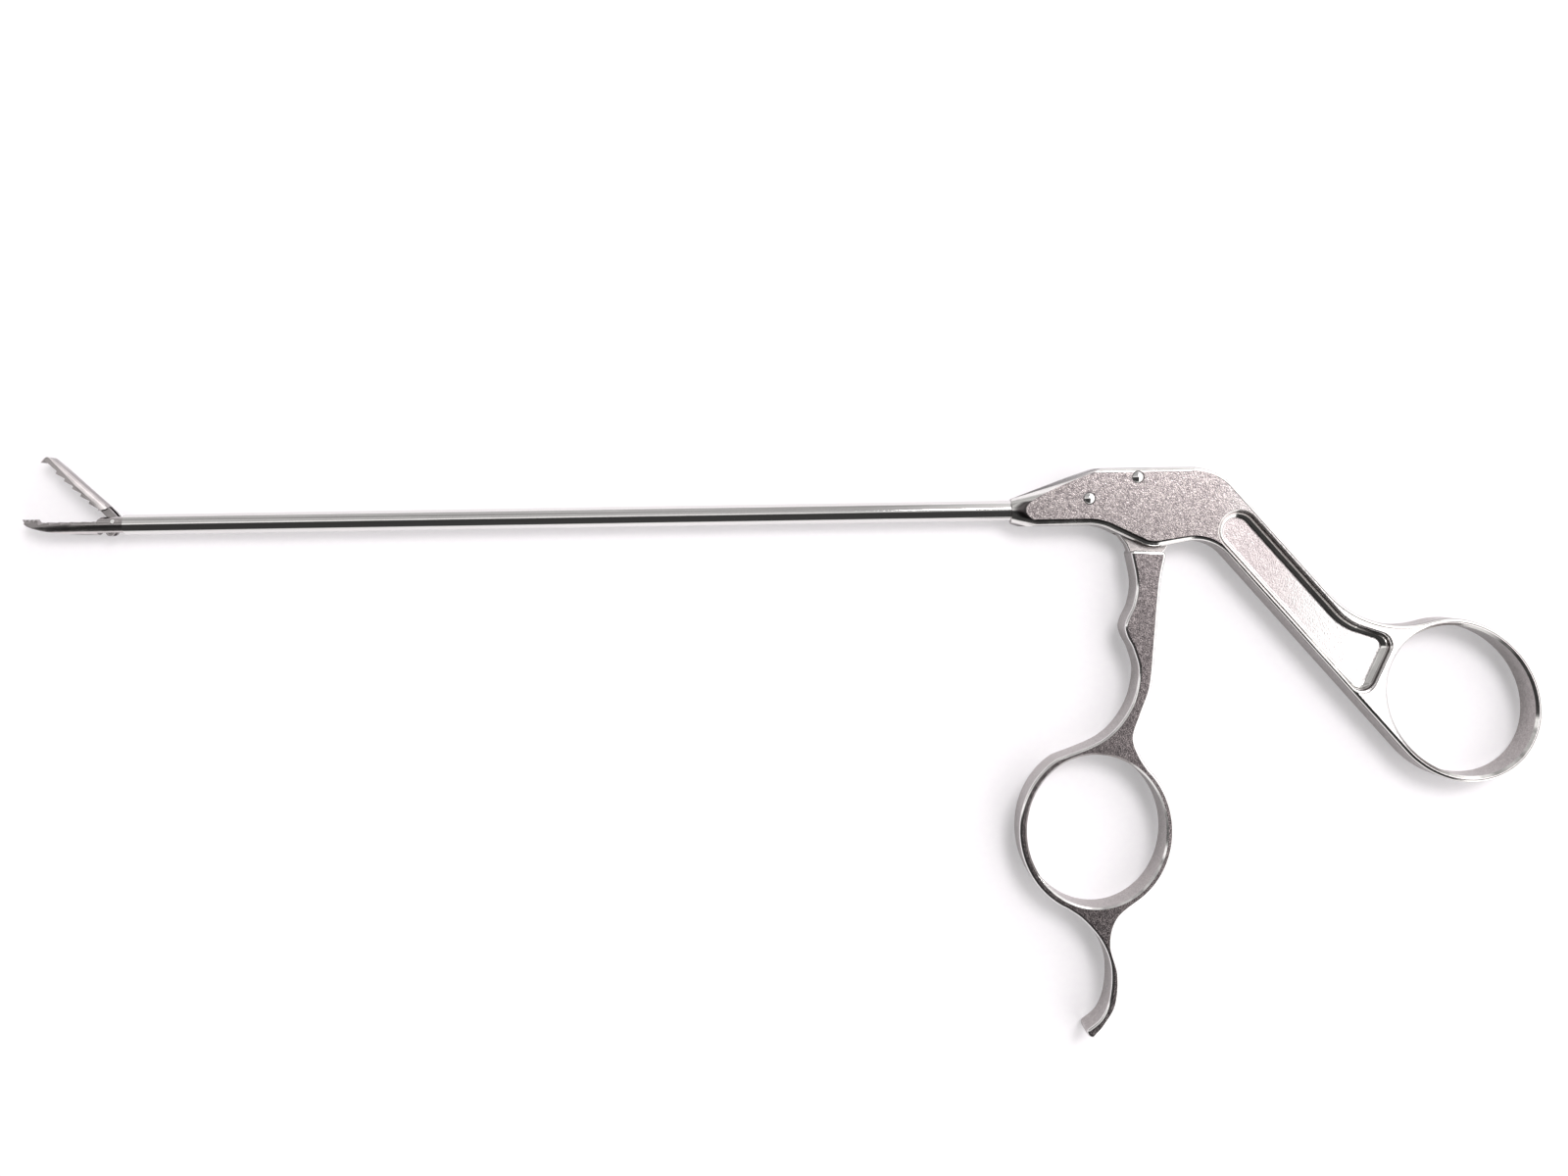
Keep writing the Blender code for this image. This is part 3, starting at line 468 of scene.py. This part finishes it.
def shade(piece, finishes, chooser, sharp=32.0):
    """Smooth shading with sharp corners kept, and one finish per kind of face."""
    for finish in finishes:
        piece.data.materials.append(finish)
    piece.data.shade_smooth()
    piece.data.set_sharp_from_angle(angle=math.radians(sharp))
    for face in piece.data.polygons:
        face.material_index = chooser(face)
    weighted = piece.modifiers.new("flat faces stay flat", "WEIGHTED_NORMAL")
    weighted.keep_sharp = True
    weighted.weight = 100
    print(piece.name, len(piece.data.polygons), "faces")


def hand_over(piece, body, slot, *nodes):
    """Says which body the piece rides on and which CAD nodes it stands for."""
    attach(piece, body)
    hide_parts(*nodes)


def face_kind(face):
    """0 for a flat face, 1 for a rounded edge, 2 for a side wall, 3 for a sunk flat face."""
    level = abs(face.normal.z)
    if level > 0.995:
        sunk = min(face.center.z, thickness * MM - face.center.z) > sunk_depth * MM
        return 3 if sunk else 0
    return 2 if level < 0.05 else 1


def only_kind(face):
    """For a piece with one finish."""
    return 0


print("solid helpers ready")

# %% [markdown]
# ## Fixed handle
# The handle is one forging: a nose that holds the shaft, a rounded body, a straight arm and the
# thumb ring. One closed outline runs round all of it, so the polished edge is unbroken.

# %% The handle's outline
nose_x = -20.9
nose_top, nose_bottom = 1.9, -2.7
body_top = 6.75
belly = Vector((2.0, -6.8))
saddle_x = 12.2
arm_angle = math.radians(49.0)
arm_width = 8.3
nose_radius, belly_front_radius, belly_radius, saddle_radius = 0.7, 8, 5, 7
rear_radius, front_radius = 9.5, 6
thumb_centre = Vector((53.2, -32.8))
thumb_hole = (13.3, 11.55)
thumb_band = 1.1
along_arm = Vector((math.cos(arm_angle), -math.sin(arm_angle)))
across_arm = Vector((math.sin(arm_angle), math.cos(arm_angle)))
thumb_rim = tuple(half + thumb_band for half in thumb_hole)


def handle_outline():
    """Counter-clockwise from the nose, along the belly and round the thumb ring to the top."""
    nose_low = Vector((nose_x, nose_bottom))
    nose_high = Vector((nose_x, nose_top))
    top_front = Vector((-7.7, body_top))
    belly_front = Vector((-6.4, nose_bottom))
    arm_low = thumb_centre - thumb_rim[1] * across_arm
    arm_high = arm_low + arm_width * across_arm
    slope = along_arm.y / along_arm.x
    saddle = Vector((saddle_x, arm_low.y + slope * (saddle_x - arm_low.x)))
    top_rear = Vector((arm_high.x + (body_top - arm_high.y) / slope, body_top))
    ring = oval(thumb_centre, *thumb_rim, along_arm, -90, 158, 110)
    heading = ring[-2] - ring[-1]
    reach = (arm_high - ring[-1]).cross(along_arm) / heading.cross(along_arm)
    throat = ring[-1] + reach * heading
    leg = (throat - ring[-1]).length

    line = rounded(nose_high, nose_low, belly_front, nose_radius)
    line += rounded(nose_low, belly_front, belly, belly_front_radius)
    line += rounded(belly_front, belly, saddle, belly_radius)
    line += rounded(belly, saddle, arm_low, saddle_radius)
    line += ring
    line += bend(ring[-1], throat, throat - leg * along_arm, 28)[1:]
    line += rounded(arm_high, top_rear, top_front, rear_radius, 24)
    line += rounded(top_rear, top_front, nose_high, front_radius)
    line += rounded(top_front, nose_high, nose_low, nose_radius)
    return line


edge_points = handle_outline()
print(len(edge_points), "points around the handle")

# %% [markdown]
# The polished rim is about 1 mm wide below the nose and narrows to half of that on the arm and
# the ring. A recess with a rounded bottom runs along both sides of the arm.

# %% Rim width and the recess in the arm
low_rim, top_rim, narrow_rim = 1.1, 0.8, 0.58
narrows_from, narrows_to = 4.0, 16.0
pocket_depth, pocket_cove = 1.9, 1.35
pocket_lip = 0.24
pocket_low_rim, pocket_high_rim = 0.6, 1.0
pocket_front_x = 16.7
pocket_low_reach = -10.4
pocket_high_corner = (-15.1, -1.15)
pocket_bend_reach = -22.3
pocket_low_radius, pocket_high_radius, pocket_bend_radius = 2.4, 2.3, 9


def handle_rim(place):
    """Width of the rounded edge: wide on the nose and body, narrow on the arm and ring."""
    share = min(max((place.x - narrows_from) / (narrows_to - narrows_from), 0.0), 1.0)
    share = share * share * (3 - 2 * share)
    wide = low_rim if place.y < 0 else top_rim
    return wide + (narrow_rim - wide) * share


def beside_ring(along, across):
    """A place given from the thumb ring's centre, along and across the arm."""
    return thumb_centre + along * along_arm + across * across_arm


def pocket_outline(wider=0.0):
    """The recess: round at the body, slanted before the ring. wider moves its line outwards."""
    low_line = pocket_low_rim - thumb_rim[1]
    high_line = arm_width - pocket_high_rim - thumb_rim[1]
    half = (high_line - low_line) / 2 + wider
    middle = beside_ring(0, (high_line + low_line) / 2)
    front = middle + (pocket_front_x - middle.x) / along_arm.x * along_arm
    low, high = front - half * across_arm, front + half * across_arm
    low_corner = beside_ring(pocket_low_reach + 1.4 * wider, low_line - wider)
    along, across = pocket_high_corner
    high_corner = beside_ring(along + 0.4 * wider, across + 1.5 * wider)
    bend_start = beside_ring(pocket_bend_reach, high_line + wider)
    turn = 90 - math.degrees(arm_angle)
    line = oval(front, half, half, Vector((1, 0)), turn, turn + 180, 40)
    line += rounded(low, low_corner, high_corner, pocket_low_radius)
    line += rounded(low_corner, high_corner, bend_start, pocket_high_radius)
    line += rounded(high_corner, bend_start, high, pocket_bend_radius, 20)
    return line


def pocket_tools():
    """Cutters for the recess and the small lip at its edge, on both sides of the arm."""
    tools = []
    steps = ((0.0, pocket_depth, pocket_cove), (pocket_lip, pocket_lip, pocket_lip))
    for top in (0.0, thickness):
        for wider, depth, cove in steps:
            tools.append(plate(pocket_outline(wider), top - depth, top + depth, cove, None, 8))
    return tools


pockets = pocket_tools()

# %% [markdown]
# A ring's hole has its own rounded rims. The cutter for it is a band that flares out at both
# faces: a circle, extruded up in steps and widened at the ends.

# %% A flared cutter for the ring holes
def ring_cutter(centre, hole, axis, lip, steps=6):
    """An oval core that widens along a quarter round where it leaves each face."""
    half = thickness / 2
    turns = [math.pi / 2 * i / steps for i in range(steps + 1)]
    levels = [(half + past_face, lip)]
    levels += [(half - lip * math.sin(t), lip * (1 - math.sin(t))) for t in turns]
    levels += [(-height, flare) for height, flare in reversed(levels)]
    bm = bmesh.new()
    ring = bmesh.ops.create_circle(bm, segments=144, radius=1.0)["verts"]
    size, level = (1.0, 1.0), 0.0
    for number, (height, flare) in enumerate(levels):
        if number:
            rim = [edge for edge in bm.edges if edge.is_boundary or edge.is_wire]
            rim = [edge for edge in rim if all(vert in ring for vert in edge.verts)]
            grown = bmesh.ops.extrude_edge_only(bm, edges=rim)["geom"]
            ring = {part for part in grown if isinstance(part, bmesh.types.BMVert)}
        wider = (hole[0] + flare, hole[1] + flare)
        bmesh.ops.scale(bm, vec=(wider[0] / size[0], wider[1] / size[1], 1), verts=list(ring))
        bmesh.ops.translate(bm, vec=(0, 0, height - level), verts=list(ring))
        size, level = wider, height
    bmesh.ops.holes_fill(bm, edges=bm.edges)
    place = Matrix.Translation(Vector((centre.x, centre.y, shaft_z)) * MM)
    turn = Matrix.Rotation(math.atan2(axis.y, axis.x), 4, "Z")
    bmesh.ops.transform(bm, matrix=place @ turn @ Matrix.Scale(MM, 4), verts=bm.verts)
    return mesh_object("ring_cutter", bm)


thumb_lip = 0.45
thumb_tool = ring_cutter(thumb_centre, thumb_hole, along_arm, thumb_lip)
print("thumb hole", [2 * half for half in thumb_hole])

# %% [markdown]
# A lathe turned the nose, so only what lies inside a cone about the shaft is kept of it. The flat
# faces end in a curve where the cone cuts them. Then the mill takes out the shaft's bore, the
# slot for the lever and the two pin holes.

# %% Build the handle
nose_cone_front, nose_cone_slope = 2.27, 0.33
bore_play, bore_end_x = 0.03, -1.5
seat_radius = 1.04
slot_width, slot_play = 2.8, 0.4


def middle_of(node):
    """The middle of a CAD node seen from above."""
    low, high = node_box(node)
    return Vector(((low.x + high.x) / 2, (low.y + high.y) / 2))


pin_heads = {"lever_pivot_pin": lever_pivot, "shaft_lock_pin": middle_of("shaft_lock_pin")}


def slot_outline():
    """The room that the lever's tang swings in, open at the back and the belly."""
    swing = Matrix.Rotation(lever_swing, 2)
    rear = [Vector((2.7, 0.0)), Vector((5.75, -5.3))]
    play = Vector((slot_play, 0))
    closed = [lever_pivot + swing @ (point - lever_pivot) + play for point in rear]
    corner = lever_pivot + swing @ Vector((1.55, 0.0))
    line = [Vector((-1.55, 7.75)), Vector((-1.55, lever_pivot.y)), Vector((-2.15, 0.5))]
    line += [Vector((-3.5, -4.2)), Vector((-3.5, -7.8)), Vector((closed[1].x, -7.8))]
    return line + closed[::-1] + [corner, Vector((1.55, 7.75))]


def nose_turning():
    """What the lathe takes off the nose: a block with a cone about the shaft left out of it."""
    front, rear = nose_x - 1.0, nose_x + 19.0
    block = box_between((front, -9, -past_face), (rear, 9, thickness + past_face))
    ends = [Vector((front - 1, 0, shaft_z)), Vector((rear + 1, 0, shaft_z))]
    radii = [nose_cone_front + (end.x - nose_x) * nose_cone_slope for end in ends]
    return settled(combine(block, cylinder(radii[0], *ends, 192, radii[1])), "turning")


handle = plate(edge_points, 0.0, thickness, low_rim, handle_rim, 6)
combine(handle, nose_turning())
bore_start, bore_end = Vector((nose_x - 1, 0, shaft_z)), Vector((bore_end_x, 0, shaft_z))
combine(handle, cylinder(shaft_radius + bore_play, bore_start, bore_end))
combine(handle, plate(slot_outline(), shaft_z - slot_width / 2, shaft_z + slot_width / 2))
for place in pin_heads.values():
    combine(handle, upright_hole(place, seat_radius))
for tool in pockets + [thumb_tool]:
    combine(handle, tool)
handle = settled(handle, "ring_handle")
shade(handle, (blasted_handle, polished_edge, satin_side, blasted_floor), face_kind)
hand_over(handle, "handle", "blasted_handle_steel", "handle_body")

# %% [markdown]
# ## Finger lever
# The lever is a second plate with the finger ring and a small hook. Its top narrows to a thin
# tang that enters the handle's slot and turns on the upper pin.

# %% The lever's outline
finger_centre = Vector((-7.75, -53.5))
finger_hole = (12.7, 11.6)
finger_band = 1.3
upright = Vector((0, 1))
finger_rim = tuple(half + finger_band for half in finger_hole)
finger_top = finger_centre + finger_rim[0] * upright
finger_bottom = finger_centre - finger_rim[0] * upright
shoulder_start, shoulder_front_radius = Vector((-1.6, -6.9)), 0.55
shoulder_end, shoulder_rear_radius = Vector((4.45, -7.3)), 0.7
hook_tip_centre = finger_bottom + Vector((-1.2, -19.35))
hook_tip_radius = 0.95
rightwards = Vector((1, 0))
bumps = [(0.3, -0.8), (1.05, -5.3), (0.5, -8.9), (-0.55, -11.2)]
bumps += [(-1.0, -12.8), (-0.6, -14.5), (0.45, -16.7), (1.2, -20.6)]
hook_inside = [(-2.45, -0.8), (0.45, -4.3), (1.95, -8.5), (1.7, -13.5), (0.3, -16.9)]
hook_outside = [(1.0, -18.3), (2.95, -14.9), (3.4, -9.8), (2.3, -4.9), (3.45, -0.7)]


def lever_outline():
    """Down the front with its finger bumps, round the ring and the hook, and up the rear."""
    ring_left = oval(finger_centre, *finger_rim, upright, 30, 157, 60)
    ring_right = oval(finger_centre, *finger_rim, upright, 214, 316, 50)
    front = places(shoulder_start, bumps)
    front += places(finger_top, [(5.75, 6.3), (1.45, 1.4)])
    rear = places(finger_top, [(7.45, -1.5), (6.6, 1.5), (7.85, 5.3)])
    rear += places(shoulder_end, [(-2.7, -22.2), (-1.85, -14.7), (-0.9, -5.2), (0.0, -0.8)])
    hook_left = places(finger_bottom, hook_inside)
    hook_tip = oval(hook_tip_centre, hook_tip_radius, hook_tip_radius, rightwards, 150, 325, 24)
    hook_right = places(finger_bottom, hook_outside)
    line = flowing(front + ring_left[:1]) + ring_left[:-1]
    line += flowing(ring_left[-1:] + hook_left + hook_tip[:1]) + hook_tip[:-1]
    line += flowing(hook_tip[-1:] + hook_right + ring_right[:1]) + ring_right[:-1]
    line += flowing(ring_right[-1:] + rear)
    line += rounded(rear[-1], shoulder_end, shoulder_start, shoulder_rear_radius, 8)
    line += rounded(shoulder_end, shoulder_start, front[0], shoulder_front_radius, 8)
    return line


lever_points = lever_outline()
print(len(lever_points), "points around the lever")

# %% Build the lever with its tang, fork and pin slot
lever_edge, tang_edge, finger_lip = 0.5, 0.2, 0.3
tang_round, tang_half = 1.45, slot_width / 2 - 0.1
cross_pin = middle_of("rod_cross_pin")
pivot_hole_radius = 0.8
fork_half = 0.62
fork_low = (-5, -1.15, shaft_z - fork_half)
fork_high = (cross_pin.x + 1.25, 1.75, shaft_z + fork_half)


def tang_outline():
    """Round at the pivot, and widening into the shoulder of the lever."""
    line = oval(lever_pivot, tang_round, tang_round, rightwards, 0, 180, 24)
    line += places(Vector((0, 0)), [(-1.75, 0.5), (-3.1, -4.2), (-1.75, -6.0), (-0.8, -8.6)])
    return line + places(Vector((0, 0)), [(3.2, -8.6), (4.75, -7.0), (5.75, -5.3), (2.7, 0.0)])


def pin_slot_outline():
    """A slot for the cross pin that points at the pivot and is slightly longer than it needs."""
    drop = (cross_pin - lever_pivot).normalized()
    return belt(cross_pin - 0.03 * drop, cross_pin + 0.07 * drop, 0.55)


lever = plate(lever_points, 0.0, thickness, lever_edge, None, 5)
tang = plate(tang_outline(), shaft_z - tang_half, shaft_z + tang_half, tang_edge, None, 3)
combine(lever, tang, "UNION")
combine(lever, box_between(fork_low, fork_high))
combine(lever, upright_hole(lever_pivot, pivot_hole_radius))
combine(lever, plate(pin_slot_outline(), 0, thickness))
combine(lever, ring_cutter(finger_centre, finger_hole, upright, finger_lip))
lever = settled(lever, "finger_lever")
shade(lever, (blasted_lever, bright_edge, satin_side, satin_side), face_kind)
hand_over(lever, "lever", "blasted_lever_steel", "lever")

# %% [markdown]
# ## Pins
# Two domed heads show on the body. Each sits in a shallow round seat, which draws a thin dark
# ring about it. The profile of the pin is spun once around its axis.

# %% Spin the two domed pins
neck_depth, stem_radius = 0.5, 0.6


def domed_pin(name, place):
    """A pin with a polished dome above the face and a narrow groove about it."""
    low, high = node_box(name)
    head = (high.x - low.x) / 2
    rise = high.z - thickness
    dome = (head**2 + rise**2) / (2 * rise)
    half_angle = math.asin(head / dome)
    profile = [Vector((0, 0, high.z))]
    for step in range(1, 9):
        angle = half_angle * step / 8
        profile.append(Vector((dome * math.sin(angle), 0, high.z - dome * (1 - math.cos(angle)))))
    neck = thickness - neck_depth
    profile += [Vector((head, 0, neck)), Vector((stem_radius, 0, neck))]
    profile += [Vector((stem_radius, 0, low.z)), Vector((0, 0, low.z))]
    bm = bmesh.new()
    verts = [bm.verts.new(point * MM) for point in profile]
    edges = [bm.edges.new(pair) for pair in zip(verts, verts[1:])]
    whole_turn = {"axis": (0, 0, 1), "angle": 2 * math.pi, "steps": 64, "use_merge": True}
    bmesh.ops.spin(bm, geom=verts + edges, cent=(0, 0, 0), **whole_turn)
    bmesh.ops.translate(bm, vec=(place.x * MM, place.y * MM, 0), verts=bm.verts)
    bmesh.ops.remove_doubles(bm, verts=bm.verts, dist=merge_distance)
    return mesh_object(name.replace("pin", "rivet"), bm)


for name, place in pin_heads.items():
    pin = domed_pin(name, place)
    shade(pin, (polished_pin,), only_kind)
    hand_over(pin, "handle", "polished_pin_steel", name)

# %% [markdown]
# ## Shaft
# The tube is the longest piece and the plainest: a mirror-polished cylinder with a bore. Faint
# lines of the polishing run along it.

# %% The shaft tube
tube_wall, lock_hole_radius = 0.4, 0.63
tube_start, tube_end = (Vector((x, 0, shaft_z)) for x in (tube_low.x, tube_high.x))
past_end = Vector((past_face, 0, 0))

tube = cylinder(shaft_radius, tube_start, tube_end, 128)
combine(tube, cylinder(shaft_radius - tube_wall, tube_start - past_end, tube_end + past_end))
combine(tube, upright_hole(pin_heads["shaft_lock_pin"], lock_hole_radius))
tube = settled(tube, "outer_tube")
shade(tube, (polished_tube,), only_kind)
hand_over(tube, "handle", "mirror_polished_steel", "shaft_tube")

# %% [markdown]
# ## Jaws
# The jaws' shapes are right as they are, but their corners are knife-sharp, and a sharp corner
# catches no light. Each jaw's solid is copied, its doubled points are merged and a bevel of less
# than a tenth of a millimetre rounds every corner, the teeth too.

# %% Round the corners of the two jaws
jaw_rounding = 0.07


def softened(node, name, width):
    """A copy of a CAD solid with small rounded corners, at its place in the frame."""
    source = frame["nodes"][node]
    bm = bmesh.new()
    bm.from_mesh(source.data)
    bmesh.ops.transform(bm, matrix=source.matrix_world, verts=bm.verts)
    bmesh.ops.remove_doubles(bm, verts=bm.verts, dist=1e-6)
    bmesh.ops.dissolve_limit(bm, angle_limit=math.radians(2), verts=bm.verts, edges=bm.edges)
    made = mesh_object(name, bm)
    rounding = made.modifiers.new("small round corners", "BEVEL")
    rounding.limit_method = "ANGLE"
    rounding.angle_limit = math.radians(28)
    rounding.width = width * MM
    rounding.segments = 3
    return made


for node, name, body in (("fixed_jaw", "lower_jaw", "handle"), ("moving_jaw", "upper_jaw", "jaw")):
    jaw = settled(softened(node, name, jaw_rounding), name)
    shade(jaw, (polished_jaw,), only_kind, sharp=40.0)
    hand_over(jaw, body, "jaw_steel", node)

# %% [markdown]
# ## Inner pieces
# The rod, its pins and its guide sit inside. Their solids stay as they are and get the drawn and
# polished finishes.

# %% Finishes on the solids that stay
for node, finish in {
    "rod_bushing": drawn_rod,
    "pull_rod": drawn_rod,
    "rod_end": drawn_rod,
    "jaw_drive_pin": polished_pin,
    "rod_cross_pin": polished_pin,
    "jaw_pivot_pin": polished_pin,
}.items():
    frame["nodes"][node].material_slots[0].material = finish

# %% [markdown]
# ## Table and light
# The table is a plain white sheet. The room is bright above and to the right of the picture and
# dark towards the person who looks down on it, so polished steel shows one bright and one dark
# side. A soft lamp at the upper right gives the shadows their side. The sheet gives off a little
# white of its own towards the camera and in reflections, which keeps those shadows pale.

# %% Table top
sheet_half, glow_share = 2.0, 0.3


def table_top():
    """A matt white sheet, mixed with a share of plain white for rays that see or mirror it."""
    bm = bmesh.new()
    bmesh.ops.create_grid(bm, x_segments=1, y_segments=1, size=sheet_half)
    made = mesh_object("table_top", bm)
    paint = bpy.data.materials.new("white_sheet")
    net = Network(paint)
    mottle = net.grain(900.0, 4.0).between(0.3, 0.7)
    colour = net.blend(mottle, (0.94, 0.90, 0.94), (0.96, 0.925, 0.955))
    sheet = net.node("ShaderNodeBsdfPrincipled", None, Base_Color=colour, Roughness=0.8)["BSDF"]
    white = (1.0, 1.0, 1.0, 1.0)
    glow = net.node("ShaderNodeEmission", None, Color=white, Strength=1.0)["Emission"]
    ray = net.node("ShaderNodeLightPath")
    seen = ray["Is Camera Ray"] + ray["Is Glossy Ray"] + ray["Is Transmission Ray"]
    share = seen.between(0.0, 1.0) * glow_share
    net.finish(net.node("ShaderNodeMixShader", None, share, sheet, glow)["Shader"])
    made.data.materials.append(paint)
    return made


table_top()

# %% Room light
room = bpy.data.worlds.new("room")
bpy.context.scene.world = room
net = Network(room)
towards = net.node("ShaderNodeTexCoord")["Generated"]
heading = net.node("ShaderNodeSeparateXYZ", None, towards)
east, north, up = heading["X"], heading["Y"], heading["Z"]
drawn_out = net.node("ShaderNodeMapping", None, towards, Scale=(0.6, 9.0, 1.0))["Vector"]
streaks = net.node("ShaderNodeTexNoise", None, drawn_out, Scale=2.2, Detail=2.0)["Fac"]

shelves = streaks.between(0.35, 0.65) * 0.38 + 0.32
window = north.between(-0.02, 0.03) * (1.0 - north.between(0.17, 0.24))
window = window * (1.0 - east.between(-0.02, 0.16))
east_half = east.between(0.05, 0.18)
person = (1.0 - north.between(-0.06, 0.05)) * up.between(0.12, 0.26)
back_wall = north.between(0.30, 0.5) * east_half * 0.8
bright_wall = east.between(0.29, 0.37)
near_horizon = 1.0 - up.between(0.08, 0.22)
horizon = 1.0 - north.between(0.1, 0.4) * (1.0 - east_half) * 0.4

brightness = shelves + window * 0.6
parts = [(person, 0.05), (back_wall, 1.05), (bright_wall, 2.0), (near_horizon, horizon)]
for share, level in parts:
    brightness = brightness + (level - brightness) * share
warm_white = (1.0, 0.985, 0.98, 1.0)
sky = net.node("ShaderNodeBackground", None, Color=warm_white, Strength=brightness)["Background"]
net.finish(sky, "ShaderNodeOutputWorld")
print("room light ready")

# %% [markdown]
# The lamp is a square soft box, far enough away to light the whole table. It is aimed at a place
# a little in front of the handle.

# %% Soft box
aim_place = Vector((-0.03, -0.02, 0.0))
key = bpy.data.lights.new("soft_box", "AREA")
key.shape = "SQUARE"
key.size = 0.34
key.energy = 5.2
soft_box = bpy.data.objects.new("soft_box", key)
soft_box.location = (0.26, 0.38, 0.89)
aim = aim_place - soft_box.location
soft_box.rotation_euler = aim.to_track_quat("-Z", "Y").to_euler()
bpy.context.scene.collection.objects.link(soft_box)
bpy.context.scene.view_settings.view_transform = "Standard"
print("lamp", key.energy, "W,", key.size, "m wide")
